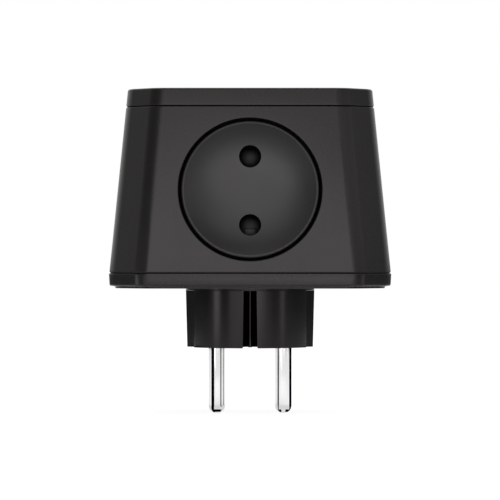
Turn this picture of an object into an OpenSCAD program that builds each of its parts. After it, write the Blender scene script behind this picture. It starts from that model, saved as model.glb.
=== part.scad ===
// Multi-socket adapter: a drafted cube with one unearthed two-hole outlet in each side, on a two-pin plug.
// The origin is the centre of the plug's seating face, +Z is up and the front outlet looks along -Y.
// Every outlet is built once in its own tilted frame and turned to the four sides.

/* [Plug] */
// Diameter of each plug pin
pin_d = 4.8; // [4.4:0.1:5]
// Length of each pin below the plug's face
pin_len = 19; // [17:0.5:20]
// Distance between the axes of the two plug pins
pin_pitch = 19; // [18:0.25:19.5]
// Diameter of the plug's body at its free face
plug_tip_d = 35.9; // [35.4:0.1:36.4]
// Diameter of the plug's body where it meets the collar
plug_root_d = 36.7; // [36.5:0.1:38]
// Height of the plug's body, from its free face to the collar
plug_h = 16.1; // [14:0.1:20]
// Distance across the two flats at the sides of the plug
plug_flats_w = 31.8; // [31:0.1:34]
// Width of the thin rib that stands on each side flat
side_rib_w = 2; // [1:0.1:3]
// Width of the front and rear grooves at the plug's free face
groove_tip_w = 4.1; // [3.8:0.1:4.6]
// Width of the grooves at the collar
groove_root_w = 3.7; // [3:0.1:3.8]
// Thickness of the web that is left between the two grooves
groove_web = 8.6; // [7.5:0.1:9.5]
// Thickness of the fin in the middle of each groove
fin_w = 0.55; // [0.4:0.05:0.8]
// Thickness of the fin's wider foot
fin_foot_w = 1.1; // [0.9:0.1:1.6]
// Height of the fin's wider foot
fin_foot_h = 2.9; // [2:0.1:4]
// How far the fin's edge stays inside the round of the plug
fin_set_back = 3.6; // [2:0.1:6]
// Wall of the hollow lobes of the plug
plug_wall = 2.2; // [1.8:0.1:2.4]
// Thickness of the plug's floor round the pins
plug_floor = 3.6; // [3:0.1:5]

/* [Housing] */
// Width of the housing across its flat sides, at the lower edge of the shell
body_w = 78.06; // [77:0.1:80]
// Lean of the sides from upright, in degrees
draft = 5.6; // [4.5:0.1:6.2]
// Leg of the cut corner at the lower edge of the shell
corner_low = 9.05; // [8:0.05:10]
// Leg of the cut corner at the upper edge of the shell
corner_high = 8.45; // [7.5:0.05:9]
// Radius of the upright edges beside the cut corners
edge_r = 4.5; // [3:0.1:6]
// Thickness of the shell's wall
wall = 2.6; // [2.2:0.1:2.8]
// Height of the shell
shell_h = 46.1; // [46:0.1:50]
// Height of the top cap
cap_h = 4.95; // [4:0.05:7]
// Thickness of the cap's top
cap_wall = 2.4; // [1.6:0.1:2.8]
// Radius of the cap's upper edge
cap_edge_r = 0.9; // [0.4:0.1:1.4]
// Bevel along each seam
seam_bevel = 0.45; // [0.2:0.05:0.8]

/* [Base] */
// Height of the round collar between plug and base
collar_h = 0.9; // [0.6:0.1:2]
// Height of the sloping step under the base plate
step_h = 1; // [0.8:0.1:2]
// Set-back of the step's upper edge from the lower edge of the band
step_set_back = 1.35; // [1:0.05:2]
// How far the step leans in on its way down
step_lean = 0.55; // [0.2:0.05:1]
// Height of the base plate's upright band
base_h = 3.25; // [3.2:0.05:6]
// How far the band stands out beyond the shell at their seam
base_proud = 0.12; // [0:0.02:0.4]
// How far the band leans in on its way down
base_lean = 0.2; // [0:0.05:0.5]
// Thickness of the base plate's floor inside the band
floor_t = 2; // [1.6:0.1:2.4]
// Height of the rim that locates the shell on the base plate
rim_h = 2.1; // [1.4:0.1:2.6]
// Thickness of that rim and of the cap's lip
rim_t = 1.6; // [1.2:0.1:2]
// Distance of each case screw from the two sides beside it
case_screw_inset = 11.03; // [10.03:0.1:11.53]

/* [Outlets] */
// Distance between the two holes of an outlet
outlet_pitch = 19; // [18.5:0.25:19.5]
// Diameter of each hole
hole_d = 6; // [5.6:0.1:6.2]
// Diameter of the round insert
insert_d = 37.9; // [37:0.1:38.5]
// Width of the dark ring gap between insert and shell
ring_gap = 0.8; // [0.4:0.1:1]
// Depth of the dish in the insert
dish_depth = 4; // [3:0.1:4.4]
// Radius of the insert's rim
rim_r = 0.6; // [0.3:0.1:0.8]
// Width of the flat land between the rim's round and the dish
rim_land = 0.25; // [0.15:0.05:0.6]
// Thickness of the insert behind the deepest point of the dish
insert_t = 2.2; // [1.8:0.1:2.6]
// How far the insert's flange reaches behind the shell
flange_reach = 1.25; // [1:0.05:1.6]
// Thickness of the insert's flange
flange_t = 1.75; // [1.4:0.05:1.9]

/* [Shutters] */
// How far a shutter slides to open
shutter_travel = 5.8; // [5.6:0.1:6]
// Thickness of the shutter's plate
shutter_t = 1.6; // [1.2:0.1:1.8]
// Depth of the ramps, measured into the adapter
ramp_depth = 5.8; // [5:0.1:6]
// Width of the shutter
shutter_w = 13.2; // [12:0.1:14]
// Width of the tab at the foot of each ramp
tab_w = 3.3; // [2.4:0.1:4]
// How far the tab stands out of the ramp
tab_out = 0.5; // [0.3:0.05:0.7]
// Outer diameter of the shutter's spring
spring_d = 3.6; // [3:0.1:3.8]
// Thickness of the spring's wire
spring_wire = 0.4; // [0.3:0.05:0.45]
// Number of turns of the spring
spring_turns = 6; // [5:1:7]
// Wall of the tray that holds the shutter
tray_wall = 1.6; // [1.2:0.1:1.8]

/* [Contacts] */
// Thickness of the contact strips
strip_t = 0.8; // [0.6:0.05:1]
// Width of the contact rings and clips
strip_w = 6.4; // [5:0.1:7]
// Width of the two risers
riser_w = 6; // [5:0.1:6.6]
// Half width of the square contact rings, to the middle of the strip
ring_half = 11.6; // [11:0.1:12.2]
// Narrowest gap of a clip
clip_gap = 4.5; // [4.2:0.05:4.7]
// Wall of the insulating tower
tower_wall = 1.5; // [1.2:0.1:1.8]
// How far outside the contact rings the tower's screws stand
tower_screw_out = 3.9; // [3.4:0.1:4.9]

/* [Fits] */
// Gap between fixed pieces that fit into each other
fit_gap = 0.2; // [0.1:0.05:0.3]
// Gap between fixed pieces where one rests on the other in a tilted plane
seat_gap = 0.15; // [0.1:0.05:0.25]
// Gap all round a sliding shutter
slide_gap = 0.3; // [0.2:0.05:0.4]
// Radial gap round a screw or a pin in its hole
screw_gap = 0.08; // [0.05:0.01:0.12]

/* [Screws] */
// Thread diameter of the case, tower and plug screws
screw_d = 2.9; // [2.5:0.1:3.1]
// Head diameter of those screws
head_d = 5.6; // [5:0.1:6]
// Head height of those screws
head_h = 1.9; // [1.4:0.1:2.2]
// Thread diameter of the small screws behind the outlets
small_screw_d = 2; // [1.6:0.1:2.2]
// Head diameter of the small screws
small_head_d = 3.8; // [3.4:0.1:4]

/* [Hidden] */
black_plastic = [0.10, 0.10, 0.10];
inner_plastic = [0.16, 0.16, 0.17];
bright_pin = [0.80, 0.80, 0.82];
brass = [0.80, 0.62, 0.30];
steel = [0.62, 0.62, 0.64];
$fn = 64;
FRONT = 0;
RIGHT = 1;
REAR = 2;
LEFT = 3;
cut_past = 1;
edge_steps = 6;
bend_steps = 4;

// Levels, upwards from the plug's free face
collar_z = plug_h;
step_z = collar_z + collar_h;
band_z = step_z + step_h;
shell_z = band_z + base_h;
shell_top = shell_z + shell_h;
cap_top = shell_top + cap_h;
floor_top = step_z + floor_t;
outlet_z = shell_z + shell_h / 2;

// The housing's outline at a height
function half_at(z) = body_w / 2 - (z - shell_z) * tan(draft);
function cut_at(z) = corner_low + (corner_high - corner_low) * (z - shell_z) / shell_h;
function ring_at(z, inset) = [z, half_at(z) - inset, cut_at(z) - inset * (2 - sqrt(2)), max(edge_r - inset, rim_t / 2)];

// The outline of a square with cut and rounded corners: half width w, corner leg c, edge radius r
function outline(w, c, r) = [
    for (quarter = [0:3], side = [0, 1], k = [0:edge_steps])
        let (a = 45 * (side + k / edge_steps))
        let (near = w - c - r * tan(22.5))
        let (p = (side == 0 ? [w - r, near] : [near, w - r]) + r * [cos(a), sin(a)])
        turned(p, 90 * quarter)
];
function turned(p, a) = [p.x * cos(a) - p.y * sin(a), p.x * sin(a) + p.y * cos(a)];

// A square with rounded corners
function round_square(half, r) = [
    for (quarter = [0:3], k = [0:bend_steps])
        let (a = 90 * k / bend_steps)
        turned([half - r, half - r] + r * [cos(a), sin(a)], 90 * quarter)
];

// A bent metal strip: its middle line with rounded corners, then its two sides
function unit(v) = v / norm(v);
function left_of(v) = [-v.y, v.x];
function rounded_corner(a, p, b, r) =
    let (u = unit(a - p), v = unit(b - p), half = acos(u * v) / 2)
    let (centre = p + unit(u + v) * r / sin(half), reach = r / tan(half))
    [for (k = [0:bend_steps])
        let (t = k / bend_steps)
        centre + r * unit((p + u * reach - centre) * (1 - t) + (p + v * reach - centre) * t)];
function bent(path, r) = [
    for (i = [0:len(path) - 1])
        each (i == 0 || i == len(path) - 1 ? [path[i]] : rounded_corner(path[i - 1], path[i], path[i + 1], r))
];
function strip_side(path, off) = [
    for (i = [0:len(path) - 1])
        let (into = unit(path[max(i, 1)] - path[max(i, 1) - 1]))
        let (out = i < len(path) - 1 ? unit(path[i + 1] - path[i]) : into)
        let (m = unit(left_of(into) + left_of(out)))
        path[i] + m * off / (m * left_of(into))
];
function reversed(list) = [for (i = [len(list) - 1:-1:0]) list[i]];
function strip(path, t) = concat(strip_side(path, t / 2), reversed(strip_side(path, -t / 2)));

// A solid through a stack of housing outlines, each given as [z, half width, corner leg, edge radius]
module loft(rings) {
    n = 8 * (edge_steps + 1);
    last = len(rings) - 1;
    points = [for (g = rings, p = outline(g[1], g[2], g[3])) [p.x, p.y, g[0]]];
    sides = [for (j = [0:last - 1], i = [0:n - 1])
        [j * n + i, (j + 1) * n + i, (j + 1) * n + (i + 1) % n, j * n + (i + 1) % n]];
    low_end = [for (i = [0:n - 1]) i];
    high_end = [for (i = [n - 1:-1:0]) last * n + i];
    polyhedron(points, concat(sides, [low_end, high_end]));
}

// Frames: one per outlet, with x across the face, y up the face and z out of it,
// and one per cut corner of the housing
module on_face(side) {
    rotate([0, 0, 90 * side])
        translate([0, -half_at(outlet_z), outlet_z])
            rotate([90 - draft, 0, 0])
                children();
}
module on_corners() {
    for (quarter = [0:3])
        rotate([0, 0, 45 + 90 * quarter])
            children();
}
module in_four(at) {
    for (sx = [-1, 1], sy = [-1, 1])
        translate([sx * at, sy * at, 0])
            children();
}
// A flat outline drawn across (x) and out of (y) the face, and extruded up the face by h
module up_the_face(h) {
    rotate([90, 0, 0])
        linear_extrude(height = h, center = true)
            children();
}
// A flat outline drawn up (x) and out of (y) the face, and extruded across it by w
module across_the_face(w) {
    rotate([90, 0, 90])
        linear_extrude(height = w, center = true)
            children();
}
module screw(thread_d, thread_l, cap_d, cap_l) {
    cylinder(h = thread_l, d = thread_d);
    translate([0, 0, -cap_l])
        cylinder(h = cap_l, d = cap_d);
}

// Case screws: they come up through the base plate's corners into the shell's bosses
boss_wall = 1.9;
post_wall = 1.5;
tower_post_wall = 1.4;
head_seat_t = 3;
case_screw_at = body_w / 2 - case_screw_inset;
boss_r = screw_d / 2 + boss_wall;
post_r = head_d / 2 + post_wall;
post_top = shell_z + rim_h;
head_floor = post_top - head_seat_t;
boss_top = outlet_z - outlet_pitch / 4;
case_screw_l = 14;

// Outlet depths, below the plane of the face
insert_r = insert_d / 2;
opening_r = insert_r + ring_gap;
flange_r = opening_r + flange_reach;
flange_front = wall + seat_gap;
flange_back = flange_front + flange_t;
insert_back = dish_depth + insert_t;
dish_r = insert_r - rim_r - rim_land;
dish_ball_r = (dish_r * dish_r + dish_depth * dish_depth) / (2 * dish_depth);
hub_set_in = 3.2;
hub_r = insert_r - hub_set_in;
hole_edge = 0.25;
slot_half = outlet_pitch / 2;
shutter_front_at = insert_back + slide_gap;
shutter_back_at = shutter_front_at + shutter_t;
ramp_back_at = shutter_front_at + ramp_depth;
ramp_clear = 0.6;
tray_floor_at = ramp_back_at + ramp_clear;
tray_back_at = tray_floor_at + tray_wall;
mouth_at = tray_back_at + ramp_clear;

// Shutter, along the face at rest
cover_over = 0.1;
cover_half = hole_d / 2 + cover_over;
ramp_foot_t = 0.8;
shutter_low = -slot_half - cover_half - ramp_foot_t;
shutter_high = slot_half + cover_half;
low_foot = shutter_low + ramp_foot_t;
up_foot = slot_half - cover_half;
tab_foot = 0.4;
tab_h = 1.75;
window_w = pin_d + shutter_t;
window_top = -slot_half + shutter_travel + pin_d / 2;
lug_t = 1.6;
lug_set_back = 0.2;
lug_top = slot_half - cover_half - lug_set_back;
seat_t = 1.1;
seat_clear = 0.35;
seat_top = -slot_half + cover_half + seat_clear + seat_t;
spring_at = (shutter_back_at + tray_floor_at) / 2;
spring_gap = 0.1;
spring_l = lug_top - lug_t - seat_top - 2 * spring_gap;
tray_in_w = shutter_w + 2 * slide_gap;
tray_low = shutter_low - shutter_travel - slide_gap;
tray_high = shutter_high + slide_gap;
ear_w = 6;
head_clear = 0.5;
ear_rim = 1.2;
small_bite = 2.4;
tray_screw_at = tray_in_w / 2 + tray_wall + small_head_d / 2 + head_clear;
ear_reach = tray_screw_at + small_screw_d / 2 + ear_rim;
ear_t = 1.8;
tray_screw_l = ear_t + small_bite;

// Contact rings: where the plane of each ring meets the line of the upper and lower holes
function ring_depth(up) = (half_at(outlet_z) - ring_half - up * slot_half * sin(draft)) / cos(draft);
function ring_level(up) = outlet_z + up * slot_half * cos(draft) - ring_depth(up) * sin(draft);
UPPER = 1;
LOWER = -1;
ring_corner_r = 1.6;
line_z = ring_level(UPPER);
neutral_z = ring_level(LOWER);
clip_flare = 0.95;
clip_mouth_l = 2.2;
clip_throat = mouth_at + clip_mouth_l;
clip_throat_l = 1.4;
clip_spread = 0.8;
clip_back_half = clip_gap / 2 + strip_t / 2 + clip_spread;

// Insulating tower, two pieces and a lid round which the contact rings sit
ring_clear = 0.5;
ledge_reach = 1.6;
foot_rim = 3;
foot_lift = 3.4;
tower_screw_at = ring_half + tower_screw_out;
tower_half = ring_half - strip_t / 2 - ring_clear;
tower_in = tower_half - tower_wall;
ledge_half = ring_half + ledge_reach;
ledge_t = 1.75;
foot_half = tower_screw_at + foot_rim;
foot_z = floor_top + foot_lift;
foot_t = 1.8;
joint_z = neutral_z + strip_w / 2 + fit_gap;
lid_z = line_z + strip_w / 2 + fit_gap;
spigot_h = 1;
tower_screw_l = 4.6;

// Pins and risers: each pin is pulled up by a terminal screw that also holds the riser's foot
collar_ledge = 0.6;
collar_pin_r = pin_d / 2 + collar_ledge;
collar_pin_h = 1.2;
shank_r = pin_d / 2 + fit_gap;
shank_top = floor_top - fit_gap / 2;
terminal_l = 6;
riser_at = pin_pitch / 2 - head_d / 2 - fit_gap - strip_t;
plug_screw_x = 8;
plug_screw_y = 12;
plug_screw_bite = 8;
plug_screw_l = floor_top - collar_z + plug_screw_bite;

// Base plate: sloping step, upright band, locating rim, posts, and the round collar above the plug
module base_plate() {
    color(black_plastic)
        difference() {
            union() {
                base_tray();
                translate([0, 0, collar_z])
                    cylinder(h = floor_top - collar_z, d = plug_root_d);
                in_four(case_screw_at)
                    translate([0, 0, step_z])
                        cylinder(h = post_top - step_z, r = post_r);
                in_four(tower_screw_at)
                    translate([0, 0, step_z])
                        cylinder(h = foot_z - step_z, r = screw_d / 2 + tower_post_wall);
            }
            in_four(case_screw_at)
                case_screw_hole();
            in_four(tower_screw_at)
                translate([0, 0, foot_z - tower_screw_l])
                    cylinder(h = tower_screw_l + cut_past, r = screw_d / 2 + screw_gap);
            for (s = [-1, 1])
                translate([s * pin_pitch / 2, 0, collar_z - cut_past])
                    cylinder(h = floor_top - collar_z + 2 * cut_past, r = shank_r + screw_gap);
            at_plug_screws()
                translate([0, 0, collar_z - cut_past])
                    cylinder(h = floor_top - collar_z + 2 * cut_past, r = screw_d / 2 + screw_gap);
        }
}
base_half = body_w / 2 + base_proud;
step_half = base_half - base_lean - step_set_back;
function base_ring(z, inset) =
    let (half = base_half - base_lean * (shell_z - z) / base_h)
    [z, half - inset, corner_low - inset * (2 - sqrt(2)), edge_r - inset];
module base_tray() {
    difference() {
        union() {
            loft([[step_z, step_half - step_lean, corner_low, edge_r], [band_z, step_half, corner_low, edge_r],
                for (a = [0, 30, 60, 90]) base_ring(band_z + seam_bevel * (1 - cos(a)), seam_bevel * (1 - sin(a))),
                base_ring(shell_z - seam_bevel, 0), base_ring(shell_z, seam_bevel)]);
            loft([ring_at(floor_top, wall + fit_gap), ring_at(post_top, wall + fit_gap)]);
        }
        loft([ring_at(floor_top, wall + fit_gap + rim_t), ring_at(post_top + cut_past, wall + fit_gap + rim_t)]);
        for (side = [FRONT:LEFT])
            on_face(side)
                translate([0, 0, -flange_back - fit_gap])
                    cylinder(h = flange_t + fit_gap, r = flange_r + fit_gap);
    }
}
module case_screw_hole() {
    translate([0, 0, step_z - cut_past])
        cylinder(h = head_floor - step_z + cut_past, r = head_d / 2 + fit_gap);
    translate([0, 0, step_z])
        cylinder(h = post_top - step_z + cut_past, r = screw_d / 2 + screw_gap);
}
module at_plug_screws() {
    for (s = [-1, 1])
        translate([s * plug_screw_x, s * plug_screw_y, 0])
            children();
}

// Plug body: a drafted round block with two hollow lobes, deep grooves front and rear, and side flats
module plug_body() {
    color(black_plastic)
        difference() {
            union() {
                difference() {
                    plug_block();
                    plug_grooves();
                    plug_hollows();
                }
                plug_fins();
                for (s = [-1, 1])
                    translate([s * pin_pitch / 2, 0, 0])
                        cylinder(h = plug_h, r = collar_pin_r + plug_wall);
                at_plug_screws()
                    translate([0, 0, plug_floor - 1])
                        cylinder(h = plug_h - plug_floor + 1, r = screw_d / 2 + post_wall);
            }
            for (s = [-1, 1])
                translate([s * pin_pitch / 2, 0, 0])
                    pin_bore();
            at_plug_screws()
                translate([0, 0, floor_top - plug_screw_l])
                    cylinder(h = plug_screw_l, r = screw_d / 2 + screw_gap);
        }
}
module plug_cone(inset) {
    cylinder(h = plug_h, d1 = plug_tip_d - 2 * inset, d2 = plug_root_d - 2 * inset);
}
module plug_block() {
    intersection() {
        plug_cone(0);
        union() {
            translate([-plug_flats_w / 2, -plug_root_d, -cut_past])
                cube([plug_flats_w, 2 * plug_root_d, plug_h + 2 * cut_past]);
            translate([-plug_root_d, -side_rib_w / 2, -cut_past])
                cube([2 * plug_root_d, side_rib_w, plug_h + 2 * cut_past]);
        }
    }
}
module plug_grooves() {
    for (turn = [0, 180])
        rotate([0, 0, turn])
            translate([0, plug_root_d + groove_web / 2, 0])
                rotate([90, 0, 0])
                    linear_extrude(height = plug_root_d)
                        polygon([[-groove_tip_w / 2, 0], [groove_tip_w / 2, 0],
                            [groove_root_w / 2, plug_h], [-groove_root_w / 2, plug_h]]);
}
module plug_fins() {
    reach = plug_tip_d - 2 * fin_set_back;
    translate([-fin_w / 2, -reach / 2, 0])
        cube([fin_w, reach, plug_h]);
    translate([-fin_foot_w / 2, -reach / 2, 0])
        cube([fin_foot_w, reach, fin_foot_h]);
}
module plug_hollows() {
    inner_x = groove_tip_w / 2 + plug_wall;
    for (turn = [0, 180])
        rotate([0, 0, turn])
            intersection() {
                plug_cone(plug_wall);
                translate([inner_x, -plug_root_d / 2, plug_floor])
                    cube([plug_flats_w / 2 - plug_wall - inner_x, plug_root_d, plug_h]);
            }
}
module pin_bore() {
    translate([0, 0, -cut_past])
        cylinder(h = collar_pin_h + cut_past, r = collar_pin_r + screw_gap);
    cylinder(h = plug_h + cut_past, r = shank_r + screw_gap);
}

// Plug pin: round tip, collar sunk into the plug's face, and a shank tapped for the terminal screw
module plug_pin(side) {
    color(bright_pin)
        translate([side * pin_pitch / 2, 0, 0])
            difference() {
                union() {
                    translate([0, 0, pin_d / 2 - pin_len])
                        cylinder(h = pin_len - pin_d / 2, d = pin_d);
                    translate([0, 0, pin_d / 2 - pin_len])
                        sphere(d = pin_d);
                    cylinder(h = collar_pin_h, r = collar_pin_r);
                    cylinder(h = shank_top, r = shank_r);
                }
                translate([0, 0, floor_top - terminal_l - 1])
                    cylinder(h = terminal_l + 1 + cut_past, r = screw_d / 2 + screw_gap);
            }
}

// Main shell: drafted walls with cut corners, an opening in each side with snap hooks for the insert,
// and a screw boss with its web in each corner
module main_shell() {
    color(black_plastic)
        difference() {
            union() {
                difference() {
                    loft([ring_at(shell_z, seam_bevel), ring_at(shell_z + seam_bevel, 0),
                        ring_at(shell_top - seam_bevel, 0), ring_at(shell_top, seam_bevel)]);
                    shell_hollow();
                    for (side = [FRONT:LEFT])
                        on_face(side)
                            opening_cut();
                }
                for (side = [FRONT:LEFT])
                    on_face(side)
                        insert_hooks();
            }
            on_corners()
                cap_hook_pocket();
            in_four(case_screw_at)
                translate([0, 0, post_top])
                    cylinder(h = case_screw_l + 2, r = screw_d / 2 + screw_gap);
        }
}
module shell_hollow() {
    difference() {
        loft([ring_at(shell_z - cut_past, wall), ring_at(shell_top + cut_past, wall)]);
        translate([0, 0, post_top])
            screw_bosses(boss_top - post_top);
    }
}
module screw_bosses(h) {
    web_reach = body_w / 2;
    in_four(case_screw_at)
        cylinder(h = h, r = boss_r);
    on_corners()
        translate([case_screw_at * sqrt(2), -strip_t, 0])
            cube([web_reach, 2 * strip_t, h]);
}
module opening_cut() {
    translate([0, 0, -wall - cut_past])
        cylinder(h = wall + 2 * cut_past, r = opening_r);
    translate([0, 0, -hole_edge])
        cylinder(h = 2 * hole_edge, r1 = opening_r, r2 = opening_r + 2 * hole_edge);
}
// A pair of cantilever hooks that hold the insert's flange against the back of the wall
hook_w = 5;
hook_t = 1.5;
hook_nose = 0.9;
module insert_hooks() {
    inner = flange_r + fit_gap;
    back = flange_back + seat_gap;
    for (s = [0, 1])
        mirror([s, 0, 0])
            up_the_face(hook_w)
                polygon([[inner, -wall / 2], [inner + hook_t, -wall / 2], [inner + hook_t, -back - 1.6],
                    [inner, -back - 1.6], [inner - hook_nose, -back - 0.6], [inner - hook_nose, -back],
                    [inner, -back]]);
}

// Cap hooks: long arms along the inside of the cut corners, whose noses catch in pockets
cap_hook_w = 8;
cap_hook_l = 8.4;
cap_nose = 1.1;
cap_nose_h = 2;
corner_lean = atan((2 * tan(draft) + (corner_high - corner_low) / shell_h) / sqrt(2));
function corner_wall_at(z) = (2 * (half_at(z) - wall) - cut_at(z) + wall * (2 - sqrt(2))) / sqrt(2);
module along_corner_wall() {
    translate([corner_wall_at(shell_top), 0, shell_top])
        rotate([0, -corner_lean, 0])
            children();
}
module cap_hook_pocket() {
    along_corner_wall()
        translate([-cut_past, -cap_hook_w / 2 - fit_gap, -cap_hook_l - fit_gap])
            cube([cap_nose + cut_past, cap_hook_w + 2 * fit_gap, cap_nose_h + 2 * fit_gap]);
}
module cap_hook() {
    arm_t = 1.6;
    along_corner_wall()
        translate([0, cap_hook_w / 2, 0])
            rotate([90, 0, 0])
                linear_extrude(height = cap_hook_w)
                    polygon([[-fit_gap - arm_t, 1], [-fit_gap, 1], [-fit_gap, cap_nose_h - cap_hook_l],
                        [cap_nose - fit_gap, cap_nose_h - cap_hook_l], [cap_nose - fit_gap, 1 - cap_hook_l],
                        [-fit_gap, -cap_hook_l], [-fit_gap - arm_t, -cap_hook_l]]);
}

// Top cap: bare, with a locating lip, hooks at the corners and a post that keeps the tower down
lip_h = 1.9;
post_ring_r = 6;
module top_cap() {
    color(black_plastic) {
        difference() {
            union() {
                loft([ring_at(shell_top, seam_bevel), ring_at(shell_top + seam_bevel, 0),
                    for (a = [0, 22.5, 45, 67.5, 90])
                        ring_at(cap_top - cap_edge_r * (1 - sin(a)), cap_edge_r * (1 - cos(a)))]);
                loft([ring_at(shell_top - lip_h, wall + fit_gap), ring_at(shell_top + seam_bevel, wall + fit_gap)]);
            }
            loft([ring_at(shell_top - lip_h - cut_past, wall + fit_gap + rim_t),
                ring_at(cap_top - cap_wall, wall + fit_gap + rim_t)]);
        }
        on_corners()
            cap_hook();
        hold_down_post();
    }
}
module hold_down_post() {
    low = lid_z + ledge_t + fit_gap;
    difference() {
        union() {
            translate([0, 0, low])
                cylinder(h = cap_top - cap_wall / 2 - low, r = post_ring_r);
            for (turn = [0, 90])
                rotate([0, 0, turn])
                    translate([-2 * post_ring_r, -strip_t, shell_top - lip_h])
                        cube([4 * post_ring_r, 2 * strip_t, cap_top - cap_wall / 2 - shell_top + lip_h]);
        }
        translate([0, 0, low - cut_past])
            cylinder(h = cap_top - cap_wall - low + cut_past, r = post_ring_r - strip_t - 1);
    }
}

// Socket insert: shallow dish with a rounded rim, two holes, and a flange that closes the ring gap
module socket_insert(side) {
    color(black_plastic)
        on_face(side)
            difference() {
                insert_blank();
                translate([0, 0, dish_ball_r - dish_depth])
                    rotate([90, 0, 0])
                        sphere(r = dish_ball_r, $fn = 128);
                for (s = [-1, 1])
                    translate([0, s * slot_half, 0])
                        outlet_hole();
                for (s = [-1, 1])
                    translate([s * tray_screw_at, 0, -insert_back - cut_past])
                        cylinder(h = tray_screw_l - ear_t + cut_past, r = small_screw_d / 2 + screw_gap);
            }
}
module insert_blank() {
    rotate_extrude()
        polygon([[0, -insert_back], [hub_r, -insert_back], [hub_r, -flange_back], [flange_r, -flange_back],
            [flange_r, -flange_front], [insert_r, -flange_front],
            for (a = [0:15:90]) [insert_r - rim_r + rim_r * cos(a), -rim_r + rim_r * sin(a)],
            [0, 0]]);
}
module outlet_hole() {
    translate([0, 0, -insert_back - cut_past])
        cylinder(h = insert_back + 2 * cut_past, d = hole_d);
}

// Shutter: a sliding plate whose two ramps close the holes, with a window over the lower ramp that
// lets the lower pin through, and a lug that rides on the spring
module shutter(side) {
    color(inner_plastic)
        on_face(side)
            union() {
                shutter_ramps();
                for (s = [-1, 1])
                    translate([0, s * slot_half, 0])
                        ramp_tab();
                difference() {
                    across_the_face(shutter_w)
                        polygon([[low_foot, -shutter_front_at], [up_foot, -shutter_front_at],
                            [up_foot, -shutter_back_at], [low_foot, -shutter_back_at]]);
                    translate([-window_w / 2, low_foot, -shutter_back_at - cut_past])
                        cube([window_w, window_top - low_foot, shutter_t + 2 * cut_past]);
                }
            }
}
module shutter_ramps() {
    slope_t = shutter_t * 0.9;
    across_the_face(shutter_w)
        polygon([[shutter_low, -shutter_front_at], [low_foot, -shutter_front_at],
            [low_foot + 2 * cover_half, -ramp_back_at], [low_foot + 2 * cover_half - slope_t, -ramp_back_at],
            [shutter_low, -shutter_back_at]]);
    across_the_face(shutter_w)
        polygon([[up_foot - slope_t, -shutter_front_at], [up_foot, -shutter_front_at],
            [shutter_high, -ramp_back_at], [shutter_high - slope_t, -ramp_back_at],
            [up_foot - slope_t, -shutter_back_at]]);
    across_the_face(spring_d + 0.4)
        polygon([[lug_top - lug_t, -shutter_front_at], [lug_top, -shutter_front_at],
            [lug_top, -ramp_back_at], [lug_top - lug_t, -ramp_back_at]]);
}
module ramp_tab() {
    rise = ramp_depth / (2 * cover_half);
    low = tab_foot - hole_d / 2;
    high = low + tab_h;
    front_low = shutter_front_at + (low + cover_half) * rise;
    front_high = shutter_front_at + (high + cover_half) * rise;
    across_the_face(tab_w)
        polygon([[low, -front_low - tab_out], [low, -front_low + tab_out * 0.6],
            [high, -front_high + tab_out], [high, -front_high - tab_out]]);
}

// Spring: one unbroken coil, pressing the shutter's lug up from the tray's seat
coil_steps = 8;
coil_sides = 6;
coil_r = (spring_d - spring_wire) / 2;
coil_pitch = (spring_l - spring_wire) / spring_turns;
module shutter_spring(side) {
    rings = coil_steps * spring_turns;
    points = [for (k = [0:rings], j = [0:coil_sides - 1])
        let (a = 360 * k / coil_steps, b = 360 * j / coil_sides)
        let (out = coil_r + spring_wire / 2 * cos(b))
        [out * cos(a), out * sin(a), spring_wire / 2 * (1 + sin(b)) + coil_pitch * k / coil_steps]];
    walls = [for (k = [0:rings - 1], j = [0:coil_sides - 1])
        let (p = k * coil_sides + j, q = k * coil_sides + (j + 1) % coil_sides)
        each [[p, q, q + coil_sides], [p, q + coil_sides, p + coil_sides]]];
    first = [for (j = [coil_sides - 1:-1:0]) j];
    last = [for (j = [0:coil_sides - 1]) rings * coil_sides + j];
    color(steel)
        on_face(side)
            translate([0, seat_top + spring_gap, -spring_at])
                rotate([-90, 0, 0])
                    polyhedron(points, concat(walls, [first, last]));
}

// Tray: holds the shutter against the back of the insert, seats the spring and guides the pins
module shutter_tray(side) {
    front = insert_back + seat_gap;
    out_w = tray_in_w + 2 * tray_wall;
    color(inner_plastic)
        on_face(side) {
            difference() {
                union() {
                    translate([-out_w / 2, tray_low - tray_wall, -tray_back_at])
                        cube([out_w, tray_high - tray_low + 2 * tray_wall, tray_back_at - front]);
                    translate([-ear_reach, -ear_w / 2, -front - ear_t])
                        cube([2 * ear_reach, ear_w, ear_t]);
                }
                translate([-tray_in_w / 2, tray_low, -tray_floor_at])
                    cube([tray_in_w, tray_high - tray_low, tray_floor_at]);
                for (s = [-1, 1]) {
                    translate([0, s * slot_half, -tray_back_at - cut_past])
                        cylinder(h = tray_wall + 2 * cut_past, d = hole_d + 0.4);
                    translate([s * tray_screw_at, 0, -front - ear_t - cut_past])
                        cylinder(h = ear_t + 2 * cut_past, r = small_screw_d / 2 + screw_gap);
                }
            }
            translate([-spring_d / 2 - 0.2, seat_top - seat_t, -tray_floor_at - tray_wall / 2])
                cube([spring_d + 0.4, seat_t, tray_wall / 2 + tray_floor_at - shutter_back_at - slide_gap]);
        }
}

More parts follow.
